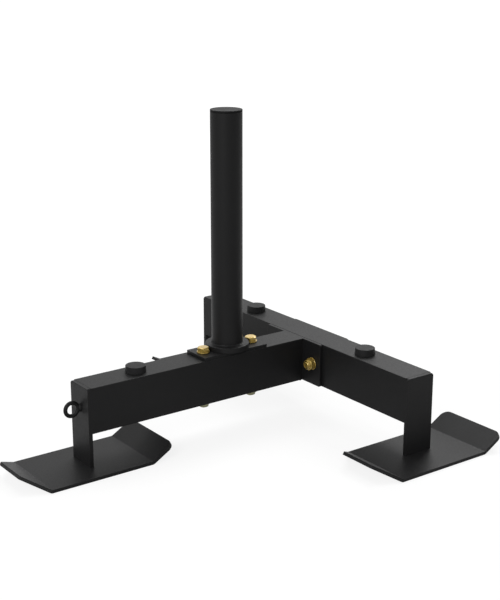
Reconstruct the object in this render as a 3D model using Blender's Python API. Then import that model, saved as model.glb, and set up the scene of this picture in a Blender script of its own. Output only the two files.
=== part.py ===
"""Weight sled: a T-shaped frame of box tube on three bent skis, with an upright post for weight plates.

The sled stands on its skis at z = 0. The pull eye faces -Y, the cross tube lies along X at the back,
and the origin is under the middle of the sled. Left is -X and right is +X. All sizes are in metres.
"""
import math

import bmesh
import bpy
from mathutils import Matrix, Vector

# Air left between faces that touch on the real sled
GAP = 0.0003

# Box tube of the main beam and the cross beam
TUBE_WIDTH = 0.050
TUBE_HEIGHT = 0.070
TUBE_WALL = 0.0025
TUBE_CORNER = 0.001
MAIN_TUBE_LENGTH = 0.385
CROSS_TUBE_LENGTH = 0.515
GROUND_TO_TUBE = 0.0555

# Flat-bar legs that close the tube ends and stand on the skis
LEG_THICKNESS = 0.006
LEG_TOP_SETBACK = 0.0015
LEG_CORNER = 0.0025

# Skis, bent up at both ends, with a tapered tip in front and round corners behind
SKI_THICKNESS = 0.005
SKI_WIDTH = 0.120
SKI_FLAT = 0.168
SKI_TIP_LIP = 0.0405
SKI_HEEL_LIP = 0.042
SKI_LIP_ANGLE = math.radians(30)
SKI_BEND_RADIUS = 0.005
SKI_TIP_WIDTH = 0.061
SKI_TIP_CORNER = 0.0015
SKI_HEEL_CORNER = 0.013
BEND_STEPS = 5

# Bolted junction of the two tubes
FLANGE_THICKNESS = 0.005
REAR_PLATE_THICKNESS = 0.003
REAR_PLATE_SETBACK = 0.0008
JUNCTION_BOLT_FROM_TUBE = 0.025
JUNCTION_PLATE_MARGIN = 0.0185
JUNCTION_PLATE_CORNER = 0.003

# Post that takes the weight plates
POST_DIAMETER = 0.0483
POST_WALL = 0.003
POST_LENGTH = 0.365
POST_FROM_TUBE_FRONT = 0.255
COLLAR_WALL = 0.0095
COLLAR_HEIGHT = 0.008
BASE_THICKNESS = 0.005
BASE_MARGIN = 0.014
BASE_CORNER = 0.0015
WASHER_TO_COLLAR = 0.001

# Plastic plug in the top of the post
CAP_HEIGHT = 0.003
CAP_EDGE_RADIUS = 0.0006
CAP_PLUG_LENGTH = 0.018
CAP_PLUG_WALL = 0.002

# Hex bolts, washers and lock nuts
BOLT_DIAMETER = 0.010
HEX_WALL = 0.0035
BOLT_HEAD_HEIGHT = 0.0064
BOLT_END_PROUD = 0.001
BOLT_HOLE_CLEARANCE = 0.0005
WASHER_WALL = 0.0047
WASHER_THICKNESS = 0.002
NUT_HEX_HEIGHT = 0.0065
NUT_COLLAR_HEIGHT = 0.0035
NUT_COLLAR_WALL = 0.0025

# Rubber bumpers pushed into the tubes' top walls
BUMPER_DIAMETER = 0.0315
BUMPER_HEIGHT = 0.010
BUMPER_EDGE_RADIUS = 0.0006
BUMPER_STEM_DIAMETER = 0.008
BUMPER_BARB = 0.0012
BUMPER_BARB_LENGTH = 0.006
FRONT_BUMPER_FROM_TUBE_FRONT = 0.089
SIDE_BUMPER_FROM_CENTRE = 0.140

# Pull eye and the weld nut that holds it
EYE_HOLE = 0.014
EYE_WIRE = 0.006
EYE_SHANK_DIAMETER = 0.006
EYE_SHANK_PROUD = 0.002
EYE_NUT_WALL = 0.0017
EYE_NUT_HEIGHT = 0.005

# Faces round a circle: the post, the bumpers and the eye's ring, the bolts, and the eye's wire
POST_STEPS = 48
RING_STEPS = 32
BOLT_STEPS = 24
WIRE_STEPS = 12
CORNER_STEPS = 4

# Places worked out from the sizes, from the ground up and from the middle outwards
TUBE_MIDDLE_Z = GROUND_TO_TUBE + TUBE_HEIGHT / 2
TUBE_TOP_Z = GROUND_TO_TUBE + TUBE_HEIGHT
LEG_FOOT_Z = SKI_THICKNESS + GAP
LEG_TOP_Z = TUBE_TOP_Z - LEG_TOP_SETBACK
FRONT_LEG_TO_CROSS = (LEG_THICKNESS + TUBE_WIDTH) / 2 + MAIN_TUBE_LENGTH + FLANGE_THICKNESS + 3 * GAP
SKIS_TO_MIDDLE = (SKI_TIP_LIP - SKI_HEEL_LIP) * math.cos(SKI_LIP_ANGLE) / 2
FRONT_LEG_Y = SKIS_TO_MIDDLE - FRONT_LEG_TO_CROSS / 2
CROSS_Y = SKIS_TO_MIDDLE + FRONT_LEG_TO_CROSS / 2
MAIN_TUBE_FRONT_Y = FRONT_LEG_Y + LEG_THICKNESS / 2 + GAP
MAIN_TUBE_REAR_Y = MAIN_TUBE_FRONT_Y + MAIN_TUBE_LENGTH
SIDE_LEG_X = (CROSS_TUBE_LENGTH + LEG_THICKNESS) / 2 + GAP
POST_Y = MAIN_TUBE_FRONT_Y + POST_FROM_TUBE_FRONT
BASE_Z = TUBE_TOP_Z + GAP
POST_FOOT_Z = BASE_Z + BASE_THICKNESS + GAP
POST_TOP_Z = POST_FOOT_Z + POST_LENGTH
COLLAR_DIAMETER = POST_DIAMETER + 2 * (GAP + COLLAR_WALL)
WASHER_DIAMETER = BOLT_DIAMETER + 2 * (GAP + WASHER_WALL)
HEX_ACROSS = BOLT_DIAMETER + 2 * HEX_WALL
EYE_NUT_ACROSS = EYE_SHANK_DIAMETER + 2 * (GAP + EYE_NUT_WALL)
POST_BOLT_OFFSET = (COLLAR_DIAMETER + WASHER_DIAMETER) / 2 + WASHER_TO_COLLAR
JUNCTION_BOLT_X = TUBE_WIDTH / 2 + JUNCTION_BOLT_FROM_TUBE
FLANGE_Y = MAIN_TUBE_REAR_Y + GAP
REAR_PLATE_Y = CROSS_Y + TUBE_WIDTH / 2 + GAP
BOLT_HOLE = BOLT_DIAMETER + 2 * BOLT_HOLE_CLEARANCE
BUMPER_HOLE = BUMPER_STEM_DIAMETER + 2 * GAP


def clear_scene():
    """Remove everything that the file starts with."""
    for item in list(bpy.data.objects):
        bpy.data.objects.remove(item, do_unlink=True)


def make_material(name, colour, roughness, metallic):
    """Give one sub-part its own surface."""
    material = bpy.data.materials.new(name)
    material.use_nodes = True
    shader = material.node_tree.nodes["Principled BSDF"]
    shader.inputs["Base Color"].default_value = (*colour, 1.0)
    shader.inputs["Roughness"].default_value = roughness
    shader.inputs["Metallic"].default_value = metallic
    return material


def powder_coat(name):
    """Black satin powder coat on steel."""
    return make_material(name + "_powder_coat", (0.012, 0.012, 0.0123), 0.45, 0.0)


def rubber(name):
    """Matt black rubber."""
    return make_material(name + "_rubber", (0.014, 0.014, 0.0143), 0.75, 0.0)


def plastic(name):
    """Black moulded plastic."""
    return make_material(name + "_plastic", (0.014, 0.014, 0.0143), 0.55, 0.0)


def yellow_zinc(name):
    """Yellow passivated zinc plating."""
    return make_material(name + "_zinc", (0.62, 0.44, 0.14), 0.32, 1.0)


def finish_object(name, bm, material):
    """Turn a bmesh into a named object with outward faces and its material."""
    bmesh.ops.recalc_face_normals(bm, faces=bm.faces)
    mesh = bpy.data.meshes.new(name)
    bm.to_mesh(mesh)
    bm.free()
    mesh.materials.append(material)
    item = bpy.data.objects.new(name, mesh)
    bpy.context.scene.collection.objects.link(item)
    return item


def shade_round(item):
    """Smooth the round faces and keep the real edges sharp."""
    item.data.shade_smooth()
    item.data.set_sharp_from_angle(angle=math.radians(35))


def rounded_outline(corners, steps):
    """Turn corners (x, y, radius) into a closed outline with an arc at each rounded corner."""
    points = []
    count = len(corners)
    for index, (x, y, radius) in enumerate(corners):
        here = Vector((x, y))
        if radius <= 0:
            points.append(here)
            continue
        towards_last = (Vector(corners[index - 1][:2]) - here).normalized()
        towards_next = (Vector(corners[(index + 1) % count][:2]) - here).normalized()
        half_angle = towards_last.angle(towards_next) / 2
        centre = here + (towards_last + towards_next).normalized() * (radius / math.sin(half_angle))
        start = here + towards_last * (radius / math.tan(half_angle)) - centre
        end = here + towards_next * (radius / math.tan(half_angle)) - centre
        turn = start.angle_signed(end)
        for step in range(steps + 1):
            points.append(centre + Matrix.Rotation(-turn * step / steps, 2) @ start)
    return points


def rectangle(width, height, radius):
    """Corners of an upright rectangle round the origin, all with one radius."""
    return [
        (-width / 2, -height / 2, radius),
        (width / 2, -height / 2, radius),
        (width / 2, height / 2, radius),
        (-width / 2, height / 2, radius),
    ]


def circle(diameter, steps):
    """A round outline as points in the XY plane."""
    turns = [2 * math.pi * step / steps for step in range(steps)]
    return [Vector((math.cos(turn), math.sin(turn))) * (diameter / 2) for turn in turns]


def hexagon_reach(turn, across):
    """Distance from a hexagon's middle to its side in the direction of turn."""
    sector = math.pi / 3
    return across / 2 / math.cos((turn + sector / 2) % sector - sector / 2)


def hexagon(across, steps, z_top, flat_diameter):
    """A hexagon's upper outline, its corners cut lower by a 30 degree chamfer."""
    points = []
    for step in range(steps):
        turn = 2 * math.pi * step / steps
        reach = hexagon_reach(turn, across)
        drop = max(0.0, reach - flat_diameter / 2) * math.tan(math.radians(30))
        points.append(Vector((reach * math.cos(turn), reach * math.sin(turn), z_top - drop)))
    return points


def at_height(outline, z):
    """Lift an outline in the XY plane to height z."""
    return [Vector((point[0], point[1], z)) for point in outline]


def skin_loops(loops, closed_ring):
    """Skin a stack of equal outlines, then join the last to the first or else fill both ends."""
    bm = bmesh.new()
    rings = [[bm.verts.new(point) for point in loop] for loop in loops]
    pairs = list(zip(rings, rings[1:]))
    if closed_ring:
        pairs.append((rings[-1], rings[0]))
    for lower, upper in pairs:
        for index in range(len(lower)):
            following = (index + 1) % len(lower)
            bm.faces.new((lower[index], lower[following], upper[following], upper[index]))
    if not closed_ring:
        bm.faces.new(list(reversed(rings[0])))
        bm.faces.new(rings[-1])
    return bm


def turned(profile, steps, closed_ring):
    """Turn a profile of (radius, z) pairs round the Z axis."""
    return skin_loops([at_height(circle(2 * radius, steps), z) for radius, z in profile], closed_ring)


def edge_arc(radius, z_top, bend, steps):
    """Profile points of a rounded outer edge that ends in a flat top at z_top."""
    arc = []
    for step in range(steps + 1):
        turn = math.pi / 2 * step / steps
        arc.append((radius - bend + bend * math.cos(turn), z_top - bend + bend * math.sin(turn)))
    return arc


def plate(name, corners, thickness, material):
    """A flat plate in the XY plane, from z = 0 up to its thickness."""
    outline = rounded_outline(corners, CORNER_STEPS)
    bm = skin_loops([at_height(outline, 0), at_height(outline, thickness)], closed_ring=False)
    return finish_object(name, bm, material)


def drill(item, centre, direction, diameter, depth):
    """Cut a round hole, centred on a world point and running depth / 2 to each side of it."""
    bm = turned([(diameter / 2, -depth / 2), (diameter / 2, depth / 2)], BOLT_STEPS, closed_ring=False)
    bmesh.ops.recalc_face_normals(bm, faces=bm.faces)
    number = len(item.modifiers) + 1
    mesh = bpy.data.meshes.new(f"{item.name}_drill_{number}")
    bm.to_mesh(mesh)
    bm.free()
    cutter = bpy.data.objects.new(mesh.name, mesh)
    bpy.context.scene.collection.objects.link(cutter)
    cutter.location = centre
    cutter.rotation_euler = Vector(direction).to_track_quat("Z", "Y").to_euler()
    cutter.hide_render = True
    cutter.display_type = "WIRE"
    cut = item.modifiers.new(f"hole_{number}", "BOOLEAN")
    cut.operation = "DIFFERENCE"
    cut.solver = "EXACT"
    cut.object = cutter


def box_tube(name, length):
    """A box tube along its own Z axis, centred, with its width on X and its height on Y."""
    outer = rounded_outline(rectangle(TUBE_WIDTH, TUBE_HEIGHT, TUBE_CORNER), CORNER_STEPS)
    inner_corner = max(TUBE_CORNER - TUBE_WALL, GAP)
    inner_size = (TUBE_WIDTH - 2 * TUBE_WALL, TUBE_HEIGHT - 2 * TUBE_WALL)
    inner = rounded_outline(rectangle(*inner_size, inner_corner), CORNER_STEPS)
    loops = [
        at_height(outer, -length / 2),
        at_height(outer, length / 2),
        at_height(inner, length / 2),
        at_height(inner, -length / 2),
    ]
    tube = finish_object(name, skin_loops(loops, closed_ring=True), powder_coat(name))
    shade_round(tube)
    return tube


def make_main_tube():
    """The beam that runs back from the pull eye, drilled for the post bolts and the front bumper."""
    tube = box_tube("main_tube", MAIN_TUBE_LENGTH)
    tube.location = (0, (MAIN_TUBE_FRONT_Y + MAIN_TUBE_REAR_Y) / 2, TUBE_MIDDLE_Z)
    tube.rotation_euler = (math.radians(90), 0, 0)
    for side in (-1, 1):
        centre = (0, POST_Y + side * POST_BOLT_OFFSET, TUBE_MIDDLE_Z)
        drill(tube, centre, (0, 0, 1), BOLT_HOLE, 2 * TUBE_HEIGHT)
    drill_bumper_hole(tube, 0, MAIN_TUBE_FRONT_Y + FRONT_BUMPER_FROM_TUBE_FRONT)


def make_cross_tube():
    """The beam across the back, drilled for the junction bolts and the side bumpers."""
    tube = box_tube("cross_tube", CROSS_TUBE_LENGTH)
    tube.location = (0, CROSS_Y, TUBE_MIDDLE_Z)
    tube.rotation_euler = (math.radians(90), 0, math.radians(90))
    for side in (-1, 1):
        centre = (side * JUNCTION_BOLT_X, CROSS_Y, TUBE_MIDDLE_Z)
        drill(tube, centre, (0, 1, 0), BOLT_HOLE, 2 * TUBE_WIDTH)
        drill_bumper_hole(tube, side * SIDE_BUMPER_FROM_CENTRE, CROSS_Y)


def drill_bumper_hole(tube, x, y):
    """The hole in a tube's top wall that a bumper's stem is pushed into."""
    drill(tube, (x, y, TUBE_TOP_Z - TUBE_WALL / 2), (0, 0, 1), BUMPER_HOLE, 3 * TUBE_WALL)


def make_leg(name, x, y, heading):
    """A flat bar over a tube's open end, from just under the tube's top down to the ski."""
    height = LEG_TOP_Z - LEG_FOOT_Z
    corners = [
        (-TUBE_WIDTH / 2, 0, 0),
        (TUBE_WIDTH / 2, 0, 0),
        (TUBE_WIDTH / 2, height, LEG_CORNER),
        (-TUBE_WIDTH / 2, height, LEG_CORNER),
    ]
    leg = plate(name, corners, LEG_THICKNESS, powder_coat(name))
    leg.rotation_euler = (math.radians(90), 0, heading)
    middle = Matrix.Rotation(heading, 3, "Z") @ Vector((0, LEG_THICKNESS / 2, 0))
    leg.location = Vector((x, y, LEG_FOOT_Z)) + middle
    return leg


def make_legs():
    """The three legs; the front one is drilled for the pull eye."""
    front = make_leg("front_leg", 0, FRONT_LEG_Y, 0)
    eye_hole = EYE_SHANK_DIAMETER + 2 * BOLT_HOLE_CLEARANCE
    drill(front, (0, FRONT_LEG_Y, TUBE_MIDDLE_Z), (0, 1, 0), eye_hole, 3 * LEG_THICKNESS)
    make_leg("left_leg", -SIDE_LEG_X, CROSS_Y, math.radians(90))
    make_leg("right_leg", SIDE_LEG_X, CROSS_Y, math.radians(90))


def bend_ski(flat_point):
    """Move a point of the flat blank to its place on the bent ski; y runs along the blank's mid-surface."""
    x, along, height = flat_point
    middle_radius = SKI_BEND_RADIUS + SKI_THICKNESS / 2
    setback = (SKI_BEND_RADIUS + SKI_THICKNESS) * math.tan(SKI_LIP_ANGLE / 2)
    straight = SKI_FLAT / 2 - setback
    end = math.copysign(1.0, along)
    past = abs(along) - straight
    if past <= 0:
        return Vector((x, along, height))
    turn = min(past / middle_radius, SKI_LIP_ANGLE)
    beyond = max(0.0, past - middle_radius * SKI_LIP_ANGLE)
    reach = SKI_BEND_RADIUS + SKI_THICKNESS - height
    out = straight + reach * math.sin(turn) + beyond * math.cos(turn)
    up = SKI_BEND_RADIUS + SKI_THICKNESS - reach * math.cos(turn) + beyond * math.sin(turn)
    return Vector((x, end * out, up))


def make_ski(name, x, y):
    """A plate cut to outline, then bent up at both ends."""
    middle_radius = SKI_BEND_RADIUS + SKI_THICKNESS / 2
    setback = (SKI_BEND_RADIUS + SKI_THICKNESS) * math.tan(SKI_LIP_ANGLE / 2)
    bend_start = SKI_FLAT / 2 - setback
    bend_length = middle_radius * SKI_LIP_ANGLE
    tip = -bend_start - bend_length - SKI_TIP_LIP + setback
    heel = bend_start + bend_length + SKI_HEEL_LIP - setback
    corners = [
        (-SKI_TIP_WIDTH / 2, tip, SKI_TIP_CORNER),
        (SKI_TIP_WIDTH / 2, tip, SKI_TIP_CORNER),
        (SKI_WIDTH / 2, -bend_start - bend_length / 2, SKI_TIP_CORNER),
        (SKI_WIDTH / 2, heel, SKI_HEEL_CORNER),
        (-SKI_WIDTH / 2, heel, SKI_HEEL_CORNER),
        (-SKI_WIDTH / 2, -bend_start - bend_length / 2, SKI_TIP_CORNER),
    ]
    outline = rounded_outline(corners, CORNER_STEPS)
    bm = skin_loops([at_height(outline, 0), at_height(outline, SKI_THICKNESS)], closed_ring=False)
    for side in (-1, 1):
        for step in range(BEND_STEPS + 1):
            station = side * (bend_start + bend_length * step / BEND_STEPS)
            everything = bm.verts[:] + bm.edges[:] + bm.faces[:]
            bmesh.ops.bisect_plane(bm, geom=everything, plane_co=(0, station, 0), plane_no=(0, 1, 0))
    for vertex in bm.verts:
        vertex.co = bend_ski(vertex.co)
    ski = finish_object(name, bm, powder_coat(name))
    shade_round(ski)
    ski.location = (x, y, 0)


def make_skis():
    """One ski under each leg, all pointing forward."""
    make_ski("front_ski", 0, FRONT_LEG_Y)
    make_ski("left_ski", -SIDE_LEG_X, CROSS_Y)
    make_ski("right_ski", SIDE_LEG_X, CROSS_Y)


def make_junction_plate(name, y, thickness, setback):
    """An upright plate across the junction, drilled for its two bolts."""
    length = 2 * (JUNCTION_BOLT_X + JUNCTION_PLATE_MARGIN)
    height = TUBE_HEIGHT - 2 * setback
    corners = rectangle(length, height, JUNCTION_PLATE_CORNER)
    item = plate(name, corners, thickness, powder_coat(name))
    item.rotation_euler = (math.radians(90), 0, 0)
    item.location = (0, y + thickness, TUBE_MIDDLE_Z)
    for side in (-1, 1):
        drill(item, (side * JUNCTION_BOLT_X, y, TUBE_MIDDLE_Z), (0, 1, 0), BOLT_HOLE, 4 * thickness)


def make_junction_plates():
    """The flange on the main tube's rear end and the thinner plate behind the cross tube."""
    make_junction_plate("junction_flange", FLANGE_Y, FLANGE_THICKNESS, 0)
    make_junction_plate("rear_clamp_plate", REAR_PLATE_Y, REAR_PLATE_THICKNESS, REAR_PLATE_SETBACK)


def make_base_plate():
    """The post's foot plate, as wide as the main tube, bolted on top of it."""
    base_length = 2 * (POST_BOLT_OFFSET + BASE_MARGIN)
    corners = rectangle(TUBE_WIDTH, base_length, BASE_CORNER)
    base = plate("post_base_plate", corners, BASE_THICKNESS, powder_coat("post_base_plate"))
    base.location = (0, POST_Y, BASE_Z)
    for side in (-1, 1):
        centre = (0, POST_Y + side * POST_BOLT_OFFSET, BASE_Z)
        drill(base, centre, (0, 0, 1), BOLT_HOLE, 4 * BASE_THICKNESS)


def make_collar():
    """The ring round the post's foot; the lowest edge of the post stands inside it."""
    bore = POST_DIAMETER / 2 + GAP
    chamfer = COLLAR_HEIGHT / 10
    rim = COLLAR_DIAMETER / 2
    collar_profile = [
        (bore, 0),
        (rim, 0),
        (rim, COLLAR_HEIGHT - chamfer),
        (rim - chamfer, COLLAR_HEIGHT),
        (bore, COLLAR_HEIGHT),
    ]
    collar_mesh = turned(collar_profile, POST_STEPS, closed_ring=True)
    collar = finish_object("post_collar", collar_mesh, powder_coat("post_collar"))
    shade_round(collar)
    collar.location = (0, POST_Y, POST_FOOT_Z)


def make_post_tube():
    """The upright tube that the weight plates slide down over."""
    outside = POST_DIAMETER / 2
    inside = outside - POST_WALL
    tube_profile = [(inside, 0), (outside, 0), (outside, POST_LENGTH), (inside, POST_LENGTH)]
    tube_mesh = turned(tube_profile, POST_STEPS, closed_ring=True)
    tube = finish_object("post_tube", tube_mesh, powder_coat("post_tube"))
    shade_round(tube)
    tube.location = (0, POST_Y, POST_FOOT_Z)


def make_post_cap():
    """The plug in the post's top: a flat head with a rounded rim and a hollow skirt inside the tube."""
    head = POST_DIAMETER / 2
    skirt = POST_DIAMETER / 2 - POST_WALL - GAP
    profile = [
        (skirt - CAP_PLUG_WALL, -CAP_PLUG_LENGTH),
        (skirt, -CAP_PLUG_LENGTH),
        (skirt, 0),
        (head, 0),
        *edge_arc(head, CAP_HEIGHT, CAP_EDGE_RADIUS, CORNER_STEPS),
    ]
    bm = turned(profile, POST_STEPS, closed_ring=False)
    floor = min(bm.faces, key=lambda face: face.calc_center_median().z)
    pocket = bmesh.ops.extrude_face_region(bm, geom=[floor])["geom"]
    bmesh.ops.delete(bm, geom=[floor], context="FACES_ONLY")
    pocket_verts = [part for part in pocket if isinstance(part, bmesh.types.BMVert)]
    bmesh.ops.translate(bm, verts=pocket_verts, vec=(0, 0, CAP_PLUG_LENGTH + CAP_HEIGHT / 2))
    cap = finish_object("post_cap", bm, plastic("post_cap"))
    shade_round(cap)
    cap.location = (0, POST_Y, POST_TOP_Z + GAP)


def make_bumper(name, x, y):
    """A rubber button whose barbed stem goes through the tube's top wall."""
    stem = BUMPER_STEM_DIAMETER / 2
    barb = stem + BUMPER_BARB
    under_wall = -TUBE_WALL - 2 * GAP
    tip = under_wall - BUMPER_BARB_LENGTH
    rim = BUMPER_DIAMETER / 2
    profile = [
        (stem / 2, tip),
        (barb, under_wall - BUMPER_BARB_LENGTH / 3),
        (barb, under_wall),
        (stem, under_wall),
        (stem, 0),
        (rim, 0),
        *edge_arc(rim, BUMPER_HEIGHT, BUMPER_EDGE_RADIUS, CORNER_STEPS),
    ]
    bumper = finish_object(name, turned(profile, RING_STEPS, closed_ring=False), rubber(name))
    shade_round(bumper)
    bumper.location = (x, y, TUBE_TOP_Z + GAP)


def make_bumpers():
    """Three bumpers, so that a weight plate lies level on them."""
    make_bumper("front_bumper", 0, MAIN_TUBE_FRONT_Y + FRONT_BUMPER_FROM_TUBE_FRONT)
    make_bumper("left_bumper", -SIDE_BUMPER_FROM_CENTRE, CROSS_Y)
    make_bumper("right_bumper", SIDE_BUMPER_FROM_CENTRE, CROSS_Y)


def place(item, origin, axis, distance):
    """Stand a turned piece at a distance along a bolt's axis, its own +Z along that axis."""
    direction = Vector(axis)
    item.rotation_euler = direction.to_track_quat("Z", "Y").to_euler()
    item.location = Vector(origin) + direction * distance


def make_bolt(name, origin, axis, grip):
    """A hex bolt: the head lies below its own z = 0, the shank runs up through the grip and the nut."""
    flat = 0.92 * HEX_ACROSS
    shank_end = grip + NUT_HEX_HEIGHT + NUT_COLLAR_HEIGHT + BOLT_END_PROUD
    chamfer = BOLT_DIAMETER / 10
    crown = [Vector((p.x, p.y, -p.z)) for p in hexagon(HEX_ACROSS, BOLT_STEPS, BOLT_HEAD_HEIGHT, flat)]
    loops = [
        at_height(circle(flat, BOLT_STEPS), -BOLT_HEAD_HEIGHT),
        crown,
        at_height(hexagon(HEX_ACROSS, BOLT_STEPS, 0, flat), 0),
        at_height(circle(BOLT_DIAMETER, BOLT_STEPS), 0),
        at_height(circle(BOLT_DIAMETER, BOLT_STEPS), shank_end - chamfer),
        at_height(circle(BOLT_DIAMETER - 2 * chamfer, BOLT_STEPS), shank_end),
    ]
    bolt = finish_object(name, skin_loops(loops, closed_ring=False), yellow_zinc(name))
    place(bolt, origin, axis, 0)


def make_washer(name, origin, axis, distance):
    """A plain washer that stands on the given point of the bolt's axis."""
    hole = BOLT_DIAMETER / 2 + GAP
    rim = WASHER_DIAMETER / 2
    profile = [(hole, 0), (rim, 0), (rim, WASHER_THICKNESS), (hole, WASHER_THICKNESS)]
    washer_mesh = turned(profile, BOLT_STEPS, closed_ring=True)
    washer = finish_object(name, washer_mesh, yellow_zinc(name))
    shade_round(washer)
    place(washer, origin, axis, distance)


def make_lock_nut(name, origin, axis, distance):
    """A hex lock nut: a round collar stands on the hexagon and holds the locking ring."""
    bore = BOLT_DIAMETER + 2 * GAP
    collar = bore + 2 * NUT_COLLAR_WALL
    top = NUT_HEX_HEIGHT + NUT_COLLAR_HEIGHT
    flat = 0.94 * HEX_ACROSS
    crown = hexagon(HEX_ACROSS, BOLT_STEPS, NUT_HEX_HEIGHT, flat)
    loops = [
        at_height(circle(bore, BOLT_STEPS), 0),
        at_height(hexagon(HEX_ACROSS, BOLT_STEPS, 0, flat), 0),
        crown,
        at_height(circle(collar, BOLT_STEPS), NUT_HEX_HEIGHT),
        at_height(circle(collar, BOLT_STEPS), top - NUT_COLLAR_HEIGHT / 4),
        at_height(circle(collar - NUT_COLLAR_WALL, BOLT_STEPS), top),
        at_height(circle(bore, BOLT_STEPS), top),
    ]
    nut = finish_object(name, skin_loops(loops, closed_ring=True), yellow_zinc(name))
    place(nut, origin, axis, distance)


def make_fastener(names, clamped_face, axis, clamped_thickness):
    """Bolt, two washers and lock nut; clamped_face is the first face that the head's washer lies on."""
    direction = Vector(axis)
    head_seat = Vector(clamped_face) - direction * (WASHER_THICKNESS + 2 * GAP)
    grip = clamped_thickness + 2 * WASHER_THICKNESS + 4 * GAP
    make_bolt(names["bolt"], head_seat, axis, grip)
    make_washer(names["head_washer"], head_seat, axis, GAP)
    make_washer(names["nut_washer"], head_seat, axis, grip - WASHER_THICKNESS - GAP)
    make_lock_nut(names["nut"], head_seat, axis, grip)


def make_post_fasteners():
    """Two bolts down through the base plate and the main tube, fore and aft of the collar."""
    for place_name, side in (("front", -1), ("rear", 1)):
        names = {
            "bolt": f"post_bolt_{place_name}",
            "head_washer": f"post_top_washer_{place_name}",
            "nut_washer": f"post_bottom_washer_{place_name}",
            "nut": f"post_nut_{place_name}",
        }
        top = (0, POST_Y + side * POST_BOLT_OFFSET, BASE_Z + BASE_THICKNESS)
        make_fastener(names, top, (0, 0, -1), BASE_THICKNESS + GAP + TUBE_HEIGHT)


def make_junction_fasteners():
    """Two bolts forward through the clamp plate, the cross tube and the flange."""
    clamped = REAR_PLATE_THICKNESS + GAP + TUBE_WIDTH + GAP + FLANGE_THICKNESS
    for place_name, side in (("left", -1), ("right", 1)):
        names = {
            "bolt": f"junction_bolt_{place_name}",
            "head_washer": f"junction_rear_washer_{place_name}",
            "nut_washer": f"junction_front_washer_{place_name}",
            "nut": f"junction_nut_{place_name}",
        }
        back = (side * JUNCTION_BOLT_X, REAR_PLATE_Y + REAR_PLATE_THICKNESS, TUBE_MIDDLE_Z)
        make_fastener(names, back, (0, -1, 0), clamped)


def make_pull_eye():
    """A ring of round wire in the sled's middle plane, with a shank through the front leg."""
    bend = (EYE_HOLE + EYE_WIRE) / 2
    face_y = FRONT_LEG_Y - LEG_THICKNESS / 2
    centre_y = face_y - GAP - bend - EYE_WIRE / 2
    shank_length = GAP + LEG_THICKNESS + GAP + EYE_NUT_HEIGHT + EYE_SHANK_PROUD
    shank_end = face_y - GAP + shank_length - centre_y

    ring_section = circle(EYE_WIRE, WIRE_STEPS)
    loops = []
    for step in range(RING_STEPS):
        turn = Matrix.Rotation(2 * math.pi * step / RING_STEPS, 3, "Z")
        loops.append([turn @ Vector((bend + point.x, 0, point.y)) for point in ring_section])
    ring = finish_object("pull_eye", skin_loops(loops, closed_ring=True), powder_coat("pull_eye"))

    radius = EYE_SHANK_DIAMETER / 2
    shank_mesh = turned([(radius, bend), (radius, shank_end)], BOLT_STEPS, closed_ring=False)
    shank = finish_object("pull_eye_shank", shank_mesh, ring.data.materials[0])
    shank.rotation_euler = (0, math.radians(90), 0)
    shank.hide_render = True
    shank.display_type = "WIRE"
    shank.parent = ring
    join = ring.modifiers.new("shank", "BOOLEAN")
    join.operation = "UNION"
    join.solver = "EXACT"
    join.object = shank
    shade_round(ring)
    ring.rotation_euler = (math.radians(90), 0, math.radians(90))
    ring.location = (0, centre_y, TUBE_MIDDLE_Z)


def make_pull_eye_nut():
    """The nut welded behind the front leg, inside the main tube."""
    bore = EYE_SHANK_DIAMETER + 2 * GAP
    loops = [
        at_height(circle(bore, BOLT_STEPS), 0),
        at_height(hexagon(EYE_NUT_ACROSS, BOLT_STEPS, 0, EYE_NUT_ACROSS), 0),
        hexagon(EYE_NUT_ACROSS, BOLT_STEPS, EYE_NUT_HEIGHT, 0.94 * EYE_NUT_ACROSS),
        at_height(circle(bore, BOLT_STEPS), EYE_NUT_HEIGHT),
    ]
    name = "pull_eye_weld_nut"
    nut = finish_object(name, skin_loops(loops, closed_ring=True), yellow_zinc(name))
    seat = (0, FRONT_LEG_Y + LEG_THICKNESS / 2, TUBE_MIDDLE_Z)
    place(nut, seat, (0, 1, 0), GAP)


clear_scene()
make_main_tube()
make_cross_tube()
make_legs()
make_skis()
make_junction_plates()
make_base_plate()
make_collar()
make_post_tube()
make_post_cap()
make_bumpers()
make_post_fasteners()
make_junction_fasteners()
make_pull_eye()
make_pull_eye_nut()
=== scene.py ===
"""Weight sled: a T-shaped frame of black box tube on bent plate skis, with a post for weight plates.

Everything is in metres in the model's own frame: +Z is up, the pull eye faces -Y, and the cross tube
lies along X.
"""
import math

import bmesh
import bpy
from mathutils import Matrix, Vector


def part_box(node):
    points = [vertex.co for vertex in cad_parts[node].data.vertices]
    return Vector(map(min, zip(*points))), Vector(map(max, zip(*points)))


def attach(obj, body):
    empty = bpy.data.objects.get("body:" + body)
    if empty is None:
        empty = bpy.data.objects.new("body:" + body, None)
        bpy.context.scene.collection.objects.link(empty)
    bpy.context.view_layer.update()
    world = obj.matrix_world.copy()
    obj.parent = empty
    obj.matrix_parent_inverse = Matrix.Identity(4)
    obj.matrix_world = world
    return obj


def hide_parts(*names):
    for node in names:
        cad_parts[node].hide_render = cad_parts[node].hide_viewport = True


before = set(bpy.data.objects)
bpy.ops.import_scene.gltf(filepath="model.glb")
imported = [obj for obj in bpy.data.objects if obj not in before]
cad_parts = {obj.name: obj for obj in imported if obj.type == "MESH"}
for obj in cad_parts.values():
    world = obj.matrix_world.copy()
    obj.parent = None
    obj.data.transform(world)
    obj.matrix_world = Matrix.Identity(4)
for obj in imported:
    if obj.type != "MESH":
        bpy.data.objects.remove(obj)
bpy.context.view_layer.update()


# Camera
# A long lens, a little above the sled and to the right of the pull eye.
# The view turns about 54 degrees off the sled's own line and looks 16 degrees down.
camera_data = bpy.data.cameras.new("camera")
camera_data.sensor_fit = "VERTICAL"
camera_data.sensor_height = 36.0
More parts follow.
